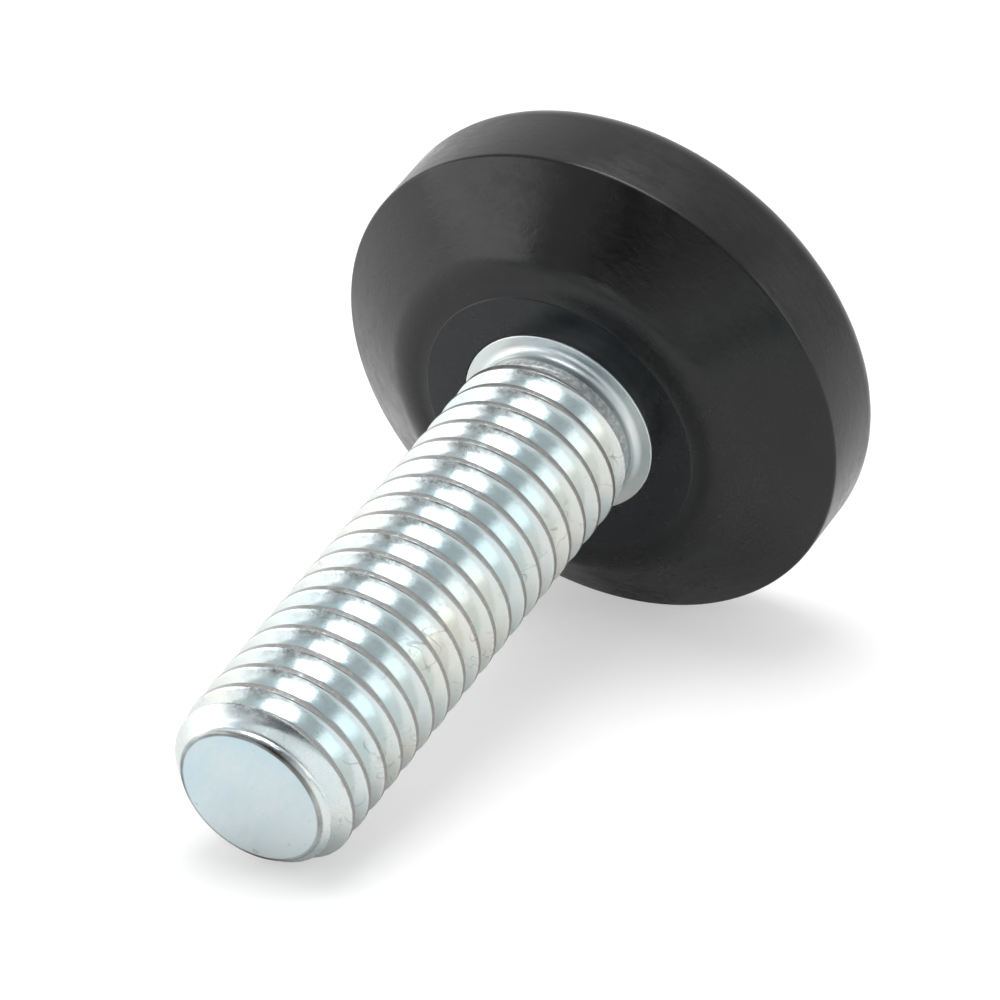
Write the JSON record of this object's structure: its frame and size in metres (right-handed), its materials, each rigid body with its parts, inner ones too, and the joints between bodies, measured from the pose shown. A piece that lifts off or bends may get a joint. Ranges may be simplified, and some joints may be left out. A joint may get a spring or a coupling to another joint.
{
  "type": "threaded furniture glide",
  "caption": "Round furniture glide: a zinc-plated threaded stud moulded into a flat black plastic foot, for screwing into a leg or base.",
  "frame": {"origin": "centre of the flat sole, at the lowest point of the glide", "axes": "+Z along the stud, from the sole towards the stud's end face; +X is the side of the stud that faces the camera in the picture"},
  "size_m": [0.0226, 0.0226, 0.0317],
  "materials": {
    "zinc_plated_steel": "bright zinc plating with a faint blue and cream tint, smooth flanks and duller crests",
    "black_plastic": "moulded black plastic, satin, with a slightly glossier rim"
  },
  "bodies": {
    "root": {"stud": "zinc_plated_steel", "foot": "black_plastic"}
  },
  "joints": []
}
